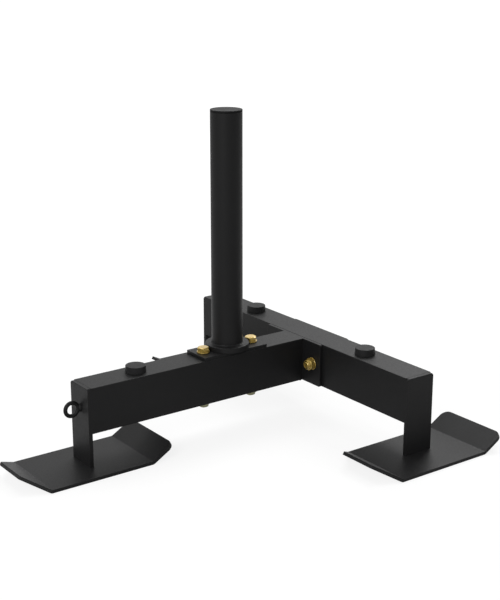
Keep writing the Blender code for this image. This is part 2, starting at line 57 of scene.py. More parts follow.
camera_data.lens = 75.294
camera_data.shift_x = 0.0078
camera_data.shift_y = -0.0098
camera_data.clip_end = 100.0
camera = bpy.data.objects.new("camera", camera_data)
camera.location = (1.50721, -1.01886, 0.75689)
camera.rotation_euler = (math.radians(90 - 16.33), 0, math.radians(53.83))
bpy.context.scene.collection.objects.link(camera)
bpy.context.scene.camera = camera
bpy.context.scene.view_settings.view_transform = "Standard"


# Floor, background and lights
# A white studio sweep, lit by three big soft lamps: high behind the sled, high on its left, low in front.
# The floor and the world show white to the camera and in reflections, and the floor keeps a soft shadow.
WORLD_FILL = 0.30
FLOOR_REACH = 30.0
FLOOR_Z = -0.0004
PAPER_GREY = 0.20
PAPER_GREY_REFLECTED = 0.80
LIFT_FROM = 0.7
LIFT_TO = 2.2
LIFT_NEAR = 0.84
LIFT_FAR = 1.0
LIFT_REFLECTED = 0.20
LAMP_SIZE = 1.4
LAMP_TARGET = Vector((0, 0, 0.1))


def plug(tree, socket, value):
    """Link a socket to another one, or set it to a plain value."""
    if isinstance(value, bpy.types.NodeSocket):
        tree.links.new(value, socket)
    else:
        socket.default_value = value


def feed(tree, node, **inputs):
    """Plug a node's inputs by name, with _ for a space."""
    for name, value in inputs.items():
        plug(tree, node.inputs[name.replace("_", " ")], value)


def add_node(tree, kind, settings=None, **inputs):
    """A node with its settings, and its inputs plugged."""
    made = tree.nodes.new(kind)
    for name, value in (settings or {}).items():
        setattr(made, name, value)
    feed(tree, made, **inputs)
    return made


def reckon(tree, operation, *values):
    """A Math node on sockets and plain numbers."""
    made = add_node(tree, "ShaderNodeMath", {"operation": operation})
    for socket, value in zip(made.inputs, values):
        plug(tree, socket, value)
    return made.outputs[0]


def tint(tree, source, dark, light):
    """A colour between two tones, each a triple or a socket."""
    made = add_node(tree, "ShaderNodeMix", {"data_type": "RGBA"}, Factor=source)
    tone_sockets = [socket for socket in made.inputs if socket.type == "RGBA"]
    for socket, tone in zip(tone_sockets, (dark, light)):
        plug(tree, socket, tone if isinstance(tone, bpy.types.NodeSocket) else (*tone, 1.0))
    return next(socket for socket in made.outputs if socket.type == "RGBA")


def seen_directly(tree):
    """1 for what the camera, a reflection or a see-through surface looks at, 0 for light on things."""
    rays = tree.nodes.new("ShaderNodeLightPath").outputs
    either = reckon(tree, "MAXIMUM", rays["Is Camera Ray"], rays["Is Glossy Ray"])
    return reckon(tree, "MAXIMUM", either, rays["Is Transmission Ray"])


def set_up_world():
    world = bpy.data.worlds.new("studio")
    bpy.context.scene.world = world
    world.use_nodes = True
    tree = world.node_tree
    strength = add_node(tree, "ShaderNodeMix", Factor=seen_directly(tree), A=WORLD_FILL, B=1.0)
    feed(tree, tree.nodes["Background"], Color=(1.0, 1.0, 1.0, 1.0), Strength=strength.outputs["Result"])


def floor_material():
    """Pale paper, lifted to white where it is looked at; a reflection shows more of its shadow.

    The lamps' light falls off away from the sled, and the lift makes up for it.
    """
    material = bpy.data.materials.new("studio_floor")
    material.use_nodes = True
    tree = material.node_tree
    tree.nodes.clear()
    reflected = tree.nodes.new("ShaderNodeLightPath").outputs["Is Glossy Ray"]
    grey = tint(tree, reflected, [PAPER_GREY] * 3, [PAPER_GREY_REFLECTED] * 3)
    paper = add_node(tree, "ShaderNodeBsdfDiffuse", Color=grey)
    place = tree.nodes.new("ShaderNodeTexCoord").outputs["Object"]
    from_sled = add_node(tree, "ShaderNodeVectorMath", {"operation": "LENGTH"}, Vector=place)
    white = add_node(tree, "ShaderNodeMapRange", Value=from_sled.outputs["Value"])
    feed(tree, white, From_Min=LIFT_FROM, From_Max=LIFT_TO, To_Min=LIFT_NEAR, To_Max=LIFT_FAR)
    level = add_node(tree, "ShaderNodeMix", Factor=reflected, A=white.outputs["Result"], B=LIFT_REFLECTED)
    lift = reckon(tree, "MULTIPLY", seen_directly(tree), level.outputs["Result"])
    glow = add_node(tree, "ShaderNodeEmission", Strength=lift)
    both = tree.nodes.new("ShaderNodeAddShader")
    plug(tree, both.inputs[0], paper.outputs["BSDF"])
    plug(tree, both.inputs[1], glow.outputs["Emission"])
    add_node(tree, "ShaderNodeOutputMaterial", Surface=both.outputs["Shader"])
    return material


def lay_floor():
    signs = ((-1, -1), (1, -1), (1, 1), (-1, 1))
    corners = [(x * FLOOR_REACH, y * FLOOR_REACH, FLOOR_Z) for x, y in signs]
    mesh = bpy.data.meshes.new("floor")
    mesh.from_pydata(corners, [], [(0, 1, 2, 3)])
    mesh.materials.append(floor_material())
    floor = bpy.data.objects.new("floor", mesh)
    bpy.context.scene.collection.objects.link(floor)


def hang_lamp(name, place, power):
    lamp_data = bpy.data.lights.new(name, "AREA")
    lamp_data.shape = "SQUARE"
    lamp_data.size = LAMP_SIZE
    lamp_data.energy = power
    lamp = bpy.data.objects.new(name, lamp_data)
    lamp.location = place
    lamp.rotation_euler = (LAMP_TARGET - Vector(place)).to_track_quat("-Z", "Y").to_euler()
    bpy.context.scene.collection.objects.link(lamp)


set_up_world()
lay_floor()
hang_lamp("rear_lamp", (-1.06, 1.84, 2.22), 38.0)
hang_lamp("left_lamp", (-1.41, 0.0, 2.75), 23.0)
hang_lamp("front_lamp", (1.32, -2.29, 1.51), 40.0)


# Skis
# Three 5 mm steel plates, 120 mm wide, cut to a tapered tip in front and round corners behind.
# Both ends are bent up by 30 degrees, the edges are dressed, and the whole sled is powder coated black.
SKI_THICKNESS = 0.005
SKI_WIDTH = 0.120
SKI_FLAT = 0.168
SKI_TIP_LIP = 0.0405
SKI_HEEL_LIP = 0.042
SKI_LIP_ANGLE = math.radians(30)
SKI_BEND_RADIUS = 0.005
SKI_BEND_STEPS = 10
SKI_TIP_WIDTH = 0.061
SKI_TIP_CORNER = 0.0015
SKI_HEEL_CORNER = 0.013
SKI_BEND_MIDDLE = SKI_BEND_RADIUS + SKI_THICKNESS / 2
SKI_BEND_OUTER = SKI_BEND_RADIUS + SKI_THICKNESS
SKI_SETBACK = SKI_BEND_OUTER * math.tan(SKI_LIP_ANGLE / 2)
SKI_STRAIGHT = SKI_FLAT / 2 - SKI_SETBACK
PLATE_EDGE = 0.0006
EDGE_SEGMENTS = 3
SHARP_ANGLE = math.radians(35)


def grain(tree, scale, detail, roughness=0.5):
    """Noise in real size, read from the piece's own coordinates."""
    place = tree.nodes.new("ShaderNodeTexCoord").outputs["Object"]
    noise = add_node(tree, "ShaderNodeTexNoise", Vector=place, Scale=scale, Detail=detail)
    feed(tree, noise, Roughness=roughness)
    return noise.outputs["Fac"]


def spread(tree, source, low, high):
    """Stretch the middle of a noise from low to high."""
    made = add_node(tree, "ShaderNodeMapRange", Value=source, From_Min=0.3, From_Max=0.7)
    feed(tree, made, To_Min=low, To_Max=high)
    return made.outputs["Result"]


def relief(tree, source, strength, distance, below=None):
    """A bump of real depth, on top of another one if given."""
    made = add_node(tree, "ShaderNodeBump", Height=source, Strength=strength, Distance=distance)
    if below:
        feed(tree, made, Normal=below)
    return made.outputs["Normal"]


def new_finish(name):
    """A material, its node tree and its shader."""
    material = bpy.data.materials.new(name)
    material.use_nodes = True
    return material, material.node_tree, material.node_tree.nodes["Principled BSDF"]


def black_powder_coat():
    """Satin black powder coat: an orange peel a few millimetres wide, with a fine grit on it."""
    material, tree, shader = new_finish("black_powder_coat")
    peel = grain(tree, 420.0, 3.0)
    grit = relief(tree, grain(tree, 2200.0, 2.0), 0.25, 0.00004)
    cloud = grain(tree, 22.0, 3.0)
    feed(
        tree,
        shader,
        Specular_IOR_Level=0.145,
        Base_Color=tint(tree, cloud, (0.0085, 0.0085, 0.0088), (0.0120, 0.0120, 0.0124)),
        Roughness=spread(tree, peel, 0.42, 0.51),
        Normal=relief(tree, peel, 0.50, 0.00010, grit),
    )
    return material


def rounded_outline(corners, steps):
    """Turn corners (x, y, radius) into a closed outline with an arc at each rounded corner."""
    points = []
    count = len(corners)
    for index, (x, y, radius) in enumerate(corners):
        here = Vector((x, y))
        if radius <= 0:
            points.append(here)
            continue
        towards_last = (Vector(corners[index - 1][:2]) - here).normalized()
        towards_next = (Vector(corners[(index + 1) % count][:2]) - here).normalized()
        half_angle = towards_last.angle(towards_next) / 2
        centre = here + (towards_last + towards_next).normalized() * (radius / math.sin(half_angle))
        start = here + towards_last * (radius / math.tan(half_angle)) - centre
        end = here + towards_next * (radius / math.tan(half_angle)) - centre
        turn = start.angle_signed(end)
        for step in range(steps + 1):
            points.append(centre + Matrix.Rotation(-turn * step / steps, 2) @ start)
    return points


def skin(bm, rings, closed):
    """Join rings of vertices with faces: back to the first ring, or else with a cap at each end."""
    pairs = list(zip(rings, rings[1:]))
    if closed:
        pairs.append((rings[-1], rings[0]))
    for lower, upper in pairs:
        for index in range(len(lower)):
            following = (index + 1) % len(lower)
            bm.faces.new((lower[index], lower[following], upper[following], upper[index]))
    if not closed:
        bm.faces.new(list(reversed(rings[0])))
        bm.faces.new(rings[-1])


def cut_plate(outline, thickness):
    """A flat blank in the XY plane, from z = 0 up to its thickness."""
    bm = bmesh.new()
    rings = [[bm.verts.new((point.x, point.y, z)) for point in outline] for z in (0, thickness)]
    skin(bm, rings, closed=False)
    return bm


def keep_flats_flat(piece):
    """Let the big faces set the shading, so that a flat looks flat up to its rounded edge."""
    flats = piece.modifiers.new("flats", "WEIGHTED_NORMAL")
    flats.weight = 100
    flats.keep_sharp = True


def finish_piece(name, bm, material, edge):
    """Make the piece, round its real edges, and smooth what is round."""
    bmesh.ops.recalc_face_normals(bm, faces=bm.faces)
    mesh = bpy.data.meshes.new(name)
    bm.to_mesh(mesh)
    bm.free()
    mesh.materials.append(material)
    mesh.shade_smooth()
    piece = bpy.data.objects.new(name, mesh)
    bpy.context.scene.collection.objects.link(piece)
    if edge > 0:
        dressed = piece.modifiers.new("dressed_edges", "BEVEL")
        dressed.width = edge
        dressed.segments = EDGE_SEGMENTS
        dressed.limit_method = "WEIGHT" if "bevel_weight_edge" in mesh.attributes else "ANGLE"
        dressed.angle_limit = SHARP_ANGLE
    if edge <= 0 or "bevel_weight_edge" in mesh.attributes:
        mesh.set_sharp_from_angle(angle=SHARP_ANGLE)
    if "bevel_weight_edge" in mesh.attributes:
        for mesh_edge, weight in zip(mesh.edges, mesh.attributes["bevel_weight_edge"].data):
            mesh_edge.use_edge_sharp = mesh_edge.use_edge_sharp and weight.value == 0
    keep_flats_flat(piece)
    return piece


def bend_blank(point):
    """Move a point of the flat blank to its place on the bent ski."""
    x, along, height = point
    past = abs(along) - SKI_STRAIGHT
    if past <= 0:
        return Vector(point)
    turn = min(past / SKI_BEND_MIDDLE, SKI_LIP_ANGLE)
    beyond = max(0.0, past - SKI_BEND_MIDDLE * SKI_LIP_ANGLE)
    reach = SKI_BEND_OUTER - height
    out = SKI_STRAIGHT + reach * math.sin(turn) + beyond * math.cos(turn)
    rise = SKI_BEND_OUTER - reach * math.cos(turn) + beyond * math.sin(turn)
    return Vector((x, math.copysign(out, along), rise))


def bent_ski(name, x, y, material):
    bend_length = SKI_BEND_MIDDLE * SKI_LIP_ANGLE
    tip = -SKI_STRAIGHT - bend_length - SKI_TIP_LIP + SKI_SETBACK
    heel = SKI_STRAIGHT + bend_length + SKI_HEEL_LIP - SKI_SETBACK
    widest = -SKI_STRAIGHT - bend_length / 2
    outline = rounded_outline(
        [
            (-SKI_TIP_WIDTH / 2, tip, SKI_TIP_CORNER),
            (SKI_TIP_WIDTH / 2, tip, SKI_TIP_CORNER),
            (SKI_WIDTH / 2, widest, SKI_TIP_CORNER),
            (SKI_WIDTH / 2, heel, SKI_HEEL_CORNER),
            (-SKI_WIDTH / 2, heel, SKI_HEEL_CORNER),
            (-SKI_WIDTH / 2, widest, SKI_TIP_CORNER),
        ],
        steps=10,
    )
    bm = cut_plate(outline, SKI_THICKNESS)
    for side in (-1, 1):
        for step in range(SKI_BEND_STEPS + 1):
            station = side * (SKI_STRAIGHT + bend_length * step / SKI_BEND_STEPS)
            everything = bm.verts[:] + bm.edges[:] + bm.faces[:]
            bmesh.ops.bisect_plane(bm, geom=everything, plane_co=(0, station, 0), plane_no=(0, 1, 0))
    for vertex in bm.verts:
        vertex.co = bend_blank(vertex.co) + Vector((x, y, 0))
    return finish_piece(name, bm, material, PLATE_EDGE)


coat = black_powder_coat()
for side in ("front", "left", "right"):
    low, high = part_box(f"{side}_leg")
    ski = bent_ski(f"{side}_ski_plate", (low.x + high.x) / 2, (low.y + high.y) / 2, coat)
    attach(ski, "root")
    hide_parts(f"{side}_ski")


# Legs
# Three 50 x 6 mm flat bars that close the open ends of the tubes and stand on the skis.
# Their top corners are rounded, and the weld round the tube's end is ground flush with the tube.
LEG_CORNER = 0.0025
LEG_INNER_MARGIN = 0.001
OUTWARDS = {"front": Vector((0, -1, 0)), "left": Vector((-1, 0, 0)), "right": Vector((1, 0, 0))}
GROUND_WELD_END_GAP = 0.001
GROUND_WELD_RUN_OUT = 0.002
GROUND_WELD_UNDER_TUBE = 0.0004
GROUND_WELD_BELOW_TOP = 0.0002
GROUND_WELD_ROLL_STEPS = 6


def leg_shape(side):
    """The middle of the leg's inner face, at ground level, and the bar's width and thickness."""
    low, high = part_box(f"{side}_leg")
    size = high - low
    thickness = min(size.x, size.y)
    foot = Vector(((low.x + high.x) / 2, (low.y + high.y) / 2, 0)) - OUTWARDS[side] * (thickness / 2)
    return foot, max(size.x, size.y), thickness


def mark_outer_edges(bm, inner_face, outwards):
    """Only the edges away from the tube get dressed; the inner ones are closed by the flush weld."""
    dressed = bm.edges.layers.float.new("bevel_weight_edge")
    for edge in bm.edges:
        away = max((vertex.co - inner_face).dot(outwards) for vertex in edge.verts)
        if away > LEG_INNER_MARGIN and edge.calc_face_angle() > SHARP_ANGLE:
            edge[dressed] = 1.0


def upright_bar(side, material):
    """The bar, from the ski's top to its own top, with only its top corners rounded."""
    foot, width, thickness = leg_shape(side)
    outwards = OUTWARDS[side]
    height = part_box(f"{side}_leg")[1].z - SKI_THICKNESS
    outline = rounded_outline(
        [
            (-width / 2, 0, 0),
            (width / 2, 0, 0),
            (width / 2, height, LEG_CORNER),
            (-width / 2, height, LEG_CORNER),
        ],
        steps=8,
    )
    bm = cut_plate(outline, thickness)
    stand = Matrix.Rotation(math.radians(90), 4, "X") @ Matrix.Translation((0, 0, -thickness / 2))
    heading = Matrix.Rotation(math.radians(0 if outwards.x == 0 else 90), 4, "Z")
    place = foot + outwards * (thickness / 2) + Vector((0, 0, SKI_THICKNESS))
    bm.transform(Matrix.Translation(place) @ heading @ stand)
    mark_outer_edges(bm, foot, outwards)
    return finish_piece(f"{side}_leg_bar", bm, material, PLATE_EDGE)


def ground_weld(side, tube_top, material):
    """The weld on top of a leg, ground flush with the tube, with a rolled outer edge and run-out ends."""
    foot, width, thickness = leg_shape(side)
    outwards = OUTWARDS[side]
    sideways = Vector((0, 0, 1)).cross(outwards)
    leg_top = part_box(f"{side}_leg")[1].z
    rise = tube_top - leg_top
    section = [(-GROUND_WELD_UNDER_TUBE, 0), (-GROUND_WELD_UNDER_TUBE, rise)]
    for step in range(GROUND_WELD_ROLL_STEPS + 1):
        turn = math.pi / 2 * step / GROUND_WELD_ROLL_STEPS
        reach = thickness - PLATE_EDGE + PLATE_EDGE * math.sin(turn)
        section.append((reach, rise - PLATE_EDGE + PLATE_EDGE * math.cos(turn)))
    section.append((thickness, 0))
    half = width / 2 - GROUND_WELD_END_GAP
    run_out = ((0.05, 0), (0.7, GROUND_WELD_RUN_OUT / 2), (1.0, GROUND_WELD_RUN_OUT))
    stations = [(share, inset - half) for share, inset in run_out]
    stations += [(share, half - inset) for share, inset in reversed(run_out)]
    bm = bmesh.new()
    rings = []
    for share, along in stations:
        ring = []
        for reach, height in section:
            lift = Vector((0, 0, leg_top - GROUND_WELD_BELOW_TOP + height * share))
            ring.append(bm.verts.new(foot + outwards * reach + sideways * along + lift))
        rings.append(ring)
    skin(bm, rings, closed=False)
    return finish_piece(f"{side}_leg_top_weld", bm, material, 0)


tube_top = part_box("main_tube")[1].z
for side in OUTWARDS:
    leg = upright_bar(side, coat)
    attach(leg, "root")
    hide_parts(f"{side}_leg")
    weld = ground_weld(side, tube_top, coat)
    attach(weld, "root")


# Box tubes
# The main tube and the cross tube are one section, 50 x 70 mm with tight corners, sawn to length.
# One section is swept along a line; the main tube runs a little into the flange that it is welded to.
TUBE_WIDTH = 0.050
TUBE_HEIGHT = 0.070
TUBE_CORNER = 0.001
TUBE_CORNER_STEPS = 8
TUBE_TO_PLATE = 0.0003
WELD_INTO_FLANGE = 0.0006
TUBE_SHARP_ANGLE = math.radians(50)
MERGE_DISTANCE = 0.00001


def start_tree(name, **inputs):
    """A Geometry Nodes tree and its named inputs, each given as its number or as its kind."""
    tree = bpy.data.node_groups.new(name, "GeometryNodeTree")
    tree.interface.new_socket(name="Geometry", in_out="OUTPUT", socket_type="NodeSocketGeometry")
    for label, value in inputs.items():
        kind = "Float" if isinstance(value, float) else value
        label = label.replace("_", " ")
        made = tree.interface.new_socket(name=label, in_out="INPUT", socket_type=f"NodeSocket{kind}")
        if isinstance(value, float):
            made.default_value = value
    return tree, tree.nodes.new("NodeGroupInput").outputs


def end_tree(tree, shape, finish):
    """Make copies real, give the shape its material and hand it out."""
    merged = add_node(tree, "GeometryNodeRealizeInstances", Geometry=shape)
    coated = add_node(tree, "GeometryNodeSetMaterial", Geometry=merged.outputs["Geometry"], Material=finish)
    add_node(tree, "NodeGroupOutput", Geometry=coated.outputs["Geometry"])
    return tree


def box_section_tree():
    """Sweep a rounded rectangle along a straight line and close the ends."""
    tree, given = start_tree(
        "box_section",
        Width=TUBE_WIDTH,
        Height=TUBE_HEIGHT,
        Corner_radius=TUBE_CORNER,
        Start="Vector",
        End="Vector",
        Finish="Material",
    )
    section = tree.nodes.new("GeometryNodeCurvePrimitiveQuadrilateral")
    feed(tree, section, Width=given["Width"], Height=given["Height"])
    corners = add_node(tree, "GeometryNodeFilletCurve", {"mode": "POLY"}, Count=TUBE_CORNER_STEPS)
    feed(tree, corners, Curve=section.outputs["Curve"], Radius=given["Corner radius"])
    line = add_node(tree, "GeometryNodeCurvePrimitiveLine", Start=given["Start"], End=given["End"])
    upright = add_node(tree, "GeometryNodeSetCurveNormal", {"mode": "Z_UP"}, Curve=line.outputs["Curve"])
    sweep = add_node(tree, "GeometryNodeCurveToMesh", Curve=upright.outputs["Curve"], Fill_Caps=True)
    feed(tree, sweep, Profile_Curve=corners.outputs["Curve"])
    return end_tree(tree, sweep.outputs["Mesh"], given["Finish"])


def grow(name, base, tree, values, sharp_angle):
    """Run a tree on a base mesh with its named inputs set, and keep the result as a plain mesh."""
    piece = bpy.data.objects.new(name, base)
    bpy.context.scene.collection.objects.link(piece)
    modifier = piece.modifiers.new("shape", "NODES")
    modifier.node_group = tree
    for item in tree.interface.items_tree:
        if item.in_out == "INPUT" and item.name in values:
            modifier[item.identifier] = values[item.name]
    bpy.context.view_layer.update()
    evaluated = piece.evaluated_get(bpy.context.evaluated_depsgraph_get())
    mesh = bpy.data.meshes.new_from_object(evaluated)
    piece.modifiers.remove(modifier)
    bm = bmesh.new()
    bm.from_mesh(mesh)
    bmesh.ops.remove_doubles(bm, verts=bm.verts, dist=MERGE_DISTANCE)
    bmesh.ops.recalc_face_normals(bm, faces=bm.faces)
    bm.to_mesh(mesh)
    bm.free()
    mesh.name = name
    mesh.shade_smooth()
    mesh.set_sharp_from_angle(angle=sharp_angle)
    piece.data = mesh
    keep_flats_flat(piece)
    return piece


box_section = box_section_tree()
low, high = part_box("main_tube")
middle_z = (low.z + high.z) / 2
main_tube_ends = {
    "Start": (0, low.y - TUBE_TO_PLATE, middle_z),
    "End": (0, high.y + TUBE_TO_PLATE + WELD_INTO_FLANGE, middle_z),
    "Finish": coat,
}
low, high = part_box("cross_tube")
middle_y = (low.y + high.y) / 2
cross_tube_ends = {
    "Start": (low.x - TUBE_TO_PLATE, middle_y, middle_z),
    "End": (high.x + TUBE_TO_PLATE, middle_y, middle_z),
    "Finish": coat,
}
for name, ends in (("main_tube", main_tube_ends), ("cross_tube", cross_tube_ends)):
    tube = grow(f"{name}_section", bpy.data.meshes.new(name), box_section, ends, TUBE_SHARP_ANGLE)
    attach(tube, "root")
    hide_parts(name)


# Junction flange and rear clamp plate
# The flange is welded to the main tube's rear end; the thinner plate lies behind the cross tube.
# Two bolts pull them together with the cross tube between them.
JUNCTION_CORNER = 0.003


def rounded_rectangle(width, depth, corner, steps):
    x, y = width / 2, depth / 2
    return rounded_outline([(-x, -y, corner), (x, -y, corner), (x, y, corner), (-x, y, corner)], steps)


def junction_plate(name, node, material):
    low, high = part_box(node)
    size = high - low
    bm = cut_plate(rounded_rectangle(size.x, size.z, JUNCTION_CORNER, steps=8), size.y)
    stand = Matrix.Rotation(math.radians(90), 4, "X") @ Matrix.Translation((0, 0, -size.y / 2))
    bm.transform(Matrix.Translation((low + high) / 2) @ stand)
    return finish_piece(name, bm, material, PLATE_EDGE)


for name in ("junction_flange", "rear_clamp_plate"):
    clamp = junction_plate(f"{name}_bar", name, coat)
    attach(clamp, "root")
    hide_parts(name)


# Weld beads
# Rippled fillet welds where the legs stand on the skis and meet the tubes' undersides, and where the
# main tube meets its flange.
# They lie on the inner sides, stop short of the edges, and are coated with the rest.
BEAD_RADIUS = 0.0028
BEAD_SIDES = 24
BEAD_STEP = 0.0003
BEAD_THINNEST = 0.05
BEAD_RIPPLE_PITCH = 0.0017
BEAD_RIPPLE_DEPTH = 0.00016
BEAD_SHORT_OF_EDGE = 0.005
BEAD_SHARP_ANGLE = math.radians(80)
RIPPLE_NOISE_SCALE = 260.0
RIPPLE_WANDER = 0.9
RIPPLE_BOW = 0.9
RIPPLE_SWELL = 1.6
UP = Vector((0, 0, 1))


def stored(tree, name, kind):
    """An attribute that the points carry."""
    made = add_node(tree, "GeometryNodeInputNamedAttribute", {"data_type": kind}, Name=name)
    return made.outputs["Attribute"]


def weld_bead_tree():
    """Lay a bead along each path: round ends, and ripples that bow about its crown."""
    tree, given = start_tree(
        "weld_bead",
        Geometry="Geometry",
        Radius=BEAD_RADIUS,
        Ripple_pitch=BEAD_RIPPLE_PITCH,
        Ripple_depth=BEAD_RIPPLE_DEPTH,
        Seed=4.0,
        Finish="Material",
    )
    paths = add_node(tree, "GeometryNodeMeshToCurve", Mesh=given["Geometry"])
    fine = add_node(tree, "GeometryNodeResampleCurve", {"mode": "LENGTH"}, Length=BEAD_STEP)
    feed(tree, fine, Curve=paths.outputs["Curve"])

    place = tree.nodes.new("GeometryNodeSplineParameter").outputs["Length"]
    whole = tree.nodes.new("GeometryNodeSplineLength").outputs["Length"]
    to_an_end = reckon(tree, "MINIMUM", place, reckon(tree, "SUBTRACT", whole, place))
    in_radii = reckon(tree, "MINIMUM", reckon(tree, "DIVIDE", to_an_end, given["Radius"]), 1.0)
    short = reckon(tree, "SUBTRACT", 1.0, in_radii)
    round_end = reckon(tree, "SQRT", reckon(tree, "SUBTRACT", 1.0, reckon(tree, "MULTIPLY", short, short)))
    kept = add_node(tree, "GeometryNodeStoreNamedAttribute", {"data_type": "FLOAT"}, Name="along")
    feed(tree, kept, Geometry=fine.outputs["Curve"], Value=place)
    tapered = add_node(tree, "GeometryNodeSetCurveRadius", Curve=kept.outputs["Geometry"])
    feed(tree, tapered, Radius=reckon(tree, "MAXIMUM", round_end, BEAD_THINNEST))
    section = tree.nodes.new("GeometryNodeCurvePrimitiveCircle")
    feed(tree, section, Resolution=BEAD_SIDES, Radius=given["Radius"])
    bead = add_node(tree, "GeometryNodeCurveToMesh", Curve=tapered.outputs["Curve"], Fill_Caps=True)
    feed(tree, bead, Profile_Curve=section.outputs["Curve"])

    normal = tree.nodes.new("GeometryNodeInputNormal").outputs["Normal"]
    facing = add_node(tree, "ShaderNodeVectorMath", {"operation": "DOT_PRODUCT"})
    plug(tree, facing.inputs[0], normal)
    plug(tree, facing.inputs[1], stored(tree, "crown", "FLOAT_VECTOR"))
    unsteady = add_node(tree, "ShaderNodeTexNoise", {"noise_dimensions": "4D"}, Scale=RIPPLE_NOISE_SCALE)
    feed(tree, unsteady, W=given["Seed"])
    wander = reckon(tree, "MULTIPLY", unsteady.outputs["Fac"], RIPPLE_WANDER)
    bow = reckon(tree, "MULTIPLY", reckon(tree, "SUBTRACT", 1.0, facing.outputs["Value"]), RIPPLE_BOW)
    count = reckon(tree, "DIVIDE", stored(tree, "along", "FLOAT"), given["Ripple pitch"])
    phase = reckon(tree, "ADD", reckon(tree, "SUBTRACT", count, bow), wander)
    wave = reckon(tree, "SINE", reckon(tree, "MULTIPLY", phase, 2 * math.pi))
    off_middle = reckon(tree, "SUBTRACT", unsteady.outputs["Fac"], 0.5)
    height = reckon(tree, "ADD", wave, reckon(tree, "MULTIPLY", off_middle, RIPPLE_SWELL))
    lift = add_node(tree, "ShaderNodeVectorMath", {"operation": "SCALE"})
    plug(tree, lift.inputs[0], normal)
    feed(tree, lift, Scale=reckon(tree, "MULTIPLY", height, given["Ripple depth"]))
    rippled = add_node(tree, "GeometryNodeSetPosition", Geometry=bead.outputs["Mesh"])
    feed(tree, rippled, Offset=lift.outputs["Vector"])
    return end_tree(tree, rippled.outputs["Geometry"], given["Finish"])


def weld_paths(name, paths):
    """Straight paths in corners, each with the direction that the bead's crown faces."""
    mesh = bpy.data.meshes.new(name)
    points = [point for first, last, crown in paths for point in (first, last)]
    mesh.from_pydata(points, [(2 * index, 2 * index + 1) for index in range(len(paths))], [])
    mesh.attributes.new("crown", "FLOAT_VECTOR", "POINT")
    for index, (first, last, crown) in enumerate(paths):
        for end in (0, 1):
            mesh.attributes["crown"].data[2 * index + end].vector = crown.normalized()
    return mesh


tube_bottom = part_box("main_tube")[0].z
bead_paths = []
for side, outwards in OUTWARDS.items():
    inner_foot, width = leg_shape(side)[:2]
    half = UP.cross(-outwards) * (width / 2 - BEAD_SHORT_OF_EDGE)
    for height, upright in ((SKI_THICKNESS, UP), (tube_bottom, -UP)):
        middle = inner_foot + UP * height
        bead_paths.append((middle - half, middle + half, upright - outwards))
flange_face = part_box("junction_flange")[0].y
half = TUBE_WIDTH / 2 - BEAD_SHORT_OF_EDGE
bead_paths.append((
    Vector((-half, flange_face, tube_bottom)),
    Vector((half, flange_face, tube_bottom)),
    Vector((0, -1, -1)),
))
bead_paths.append((
    Vector((-TUBE_WIDTH / 2, flange_face, tube_bottom + BEAD_SHORT_OF_EDGE)),
    Vector((-TUBE_WIDTH / 2, flange_face, tube_top - BEAD_SHORT_OF_EDGE)),
    Vector((-1, -1, 0)),
))
path_mesh = weld_paths("weld_paths", bead_paths)
beads = grow("weld_beads", path_mesh, weld_bead_tree(), {"Finish": coat}, BEAD_SHARP_ANGLE)
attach(beads, "root")


# Base plate, collar and post
# The post is 48.3 mm tube, as long as the stack of plates it takes, and stands in a thick turned collar.
# Collar and post are welded to a 5 mm base plate, as wide as the main tube, that is bolted on top of it.
POST_STEPS = 128
BASE_CORNER = 0.0015
COLLAR_RIM = 0.0010
COLLAR_FILLET = 0.0016
COLLAR_FILLET_MIDDLE = 0.0005
RIM_STEPS = 6


def round_rings(bm, profile, steps):
    """A ring of vertices round the Z axis for each (radius, z) pair."""
    turns = [2 * math.pi * step / steps for step in range(steps)]
    return [
        [bm.verts.new((radius * math.cos(turn), radius * math.sin(turn), z)) for turn in turns]
        for radius, z in profile
    ]


def turned(profile, steps, closed=False):
    """Turn a profile round the Z axis: back to its first point, or else with a flat cap at each end."""
    bm = bmesh.new()
    skin(bm, round_rings(bm, profile, steps), closed)
    return bm


def rounded_rim(radius, z_top, bend):
    """Profile points of a rounded outer edge that ends in a flat top."""
    turns = [math.pi / 2 * step / RIM_STEPS for step in range(RIM_STEPS + 1)]
    return [(radius - bend + bend * math.cos(turn), z_top - bend + bend * math.sin(turn)) for turn in turns]


def stand_at(bm, x, y, z):
    bm.transform(Matrix.Translation((x, y, z)))
    return bm


low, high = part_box("post_base_plate")
post_y = (low.y + high.y) / 2
base_outline = rounded_rectangle(high.x - low.x, high.y - low.y, BASE_CORNER, steps=6)
base_bm = stand_at(cut_plate(base_outline, high.z - low.z), 0, post_y, low.z)
base = finish_piece("base_plate", base_bm, coat, PLATE_EDGE)

low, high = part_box("post_tube")
post_radius = (high.x - low.x) / 2
post_height = high.z - low.z
post_profile = [(post_radius, 0), (post_radius, post_height / 2), (post_radius, post_height)]
post_bm = stand_at(turned(post_profile, POST_STEPS), 0, post_y, low.z)
post = finish_piece("post_sleeve", post_bm, coat, 0)

low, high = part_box("post_collar")
collar_radius = (high.x - low.x) / 2
collar_height = high.z - low.z
collar_profile = [
    (collar_radius, 0),
    *rounded_rim(collar_radius, collar_height, COLLAR_RIM),
    (post_radius + COLLAR_FILLET, collar_height),
    (post_radius + COLLAR_FILLET_MIDDLE, collar_height + COLLAR_FILLET_MIDDLE),
    (post_radius, collar_height + COLLAR_FILLET),
]
collar_bm = stand_at(turned(collar_profile, POST_STEPS), 0, post_y, low.z)
collar = finish_piece("post_foot_ring", collar_bm, coat, 0)
for piece, node in ((base, "post_base_plate"), (post, "post_tube"), (collar, "post_collar")):
    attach(piece, "root")
    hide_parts(node)


# Post cap
# A moulded plastic plug pushed into the post, with a thin flat head as wide as the tube.
# Its rim is just broken, and the top is a little lower in the middle.
CAP_RIM = 0.0006
CAP_FOOT = 0.0003
CAP_NECK_INSET = 0.0010
CAP_DISH = 0.0002


